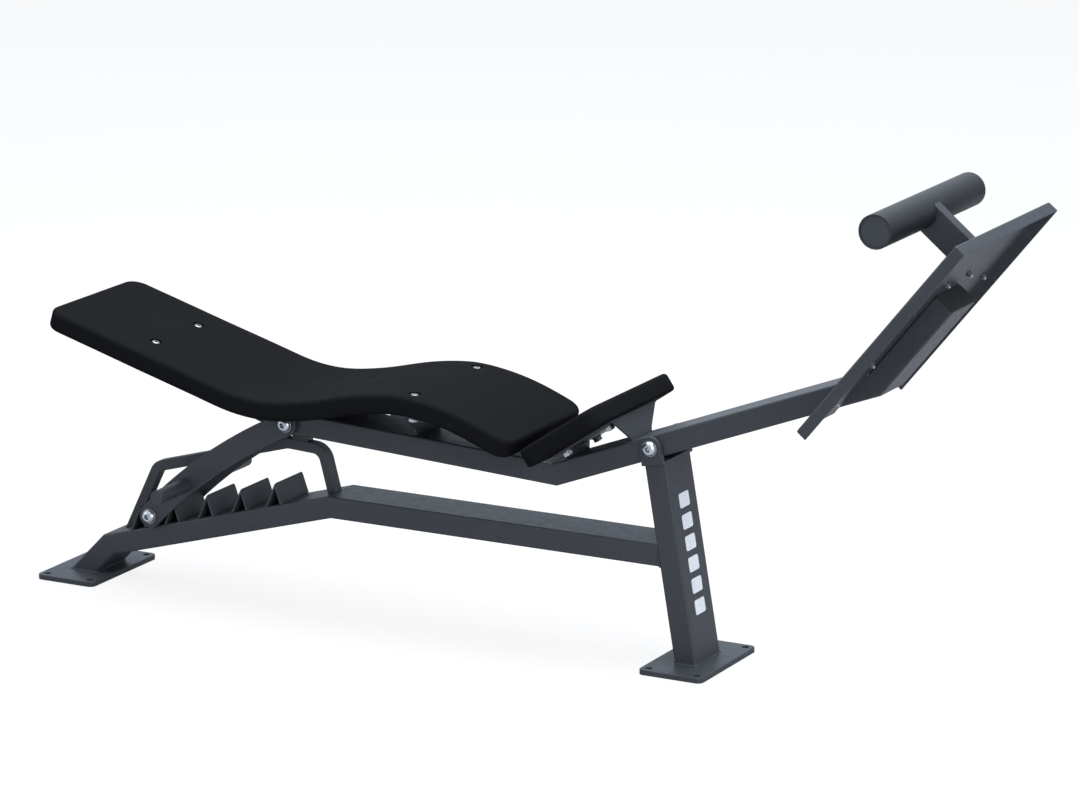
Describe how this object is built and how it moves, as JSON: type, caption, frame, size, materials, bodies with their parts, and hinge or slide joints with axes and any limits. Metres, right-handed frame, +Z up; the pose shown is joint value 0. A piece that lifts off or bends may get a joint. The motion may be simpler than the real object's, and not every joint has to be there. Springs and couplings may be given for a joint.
{
  "type": "roman chair",
  "caption": "Outdoor roman chair bench with a long moulded pad, a seat pad, a tilting frame held by a notched prop, and a foot tray with an instep roller.",
  "frame": {"origin": "floor level under the centre of the rear foot plate, on the symmetry plane", "axes": "+Z up, +X along the bench from the head end to the foot tray, +Y across the bench"},
  "size_m": [2.0221, 0.424, 0.9437],
  "materials": {
    "dark_coat": "satin powder coat",
    "pad_plastic": "matte",
    "mat_rubber": "matte",
    "zinc": "satin zinc plate",
    "bush_plastic": "satin",
    "cap_plastic": "satin",
    "roller_black": "satin"
  },
  "bodies": {
    "base": {"rear_foot_plate": "dark_coat", "front_foot_plate": "dark_coat", "rear_stub_tube": "dark_coat", "base_rail_rear": "dark_coat", "base_rail_front": "dark_coat", "front_leg": "dark_coat", "pivot_clevis": "dark_coat", "ratchet_teeth": "dark_coat", "guard_loop": "dark_coat", "rest_block": "dark_coat", "pivot_bolt": "zinc", "pivot_nut": "zinc", "pivot_washers": "zinc"},
    "upper_frame": {"beam_rear": "dark_coat", "beam_front": "dark_coat", "spine_tube": "dark_coat", "beam_end_plate": "dark_coat", "head_arm": "dark_coat", "head_cross_plate": "dark_coat", "centre_pad_bracket": "dark_coat", "seat_pad_bracket": "dark_coat", "foot_tray": "dark_coat", "roller_stem": "dark_coat", "pad_bolts": "zinc", "pad_washers": "zinc", "pad_nuts": "zinc", "tread_bolts": "zinc", "tread_nuts": "zinc", "pivot_sleeve": "zinc", "prop_pivot_sleeve": "zinc", "long_pad": "pad_plastic", "seat_pad": "pad_plastic", "tread_mat": "mat_rubber", "pivot_bushes": "bush_plastic", "prop_pivot_bushes": "bush_plastic", "spine_cap": "cap_plastic", "head_arm_cap": "cap_plastic", "roller_end_caps": "cap_plastic", "foot_roller": "roller_black"},
    "prop": {"prop_plate_right": "dark_coat", "prop_plate_left": "dark_coat", "foot_bar": "dark_coat", "foot_bolt": "zinc", "foot_nut": "zinc", "prop_pivot_bolt": "zinc", "prop_pivot_nut": "zinc", "prop_washers": "zinc", "handle_stubs": "dark_coat", "handle_caps": "cap_plastic"}
  },
  "joints": [
    {"name": "bench_tilt", "type": "hinge", "parent": "base", "child": "upper_frame", "pos_m": [1.2684, 0, 0.4204], "axis": [0, 1, 0], "range_deg": [0, 8.4]},
    {"name": "prop_swing", "type": "hinge", "parent": "upper_frame", "child": "prop", "pos_m": [0.4799, 0, 0.3701], "axis": [0, -1, 0], "range_deg": [0, 18.1]}
  ],
  "couplings": [
    {"joint": "prop_swing", "follows": "bench_tilt", "ratio": 2.15}
  ]
}
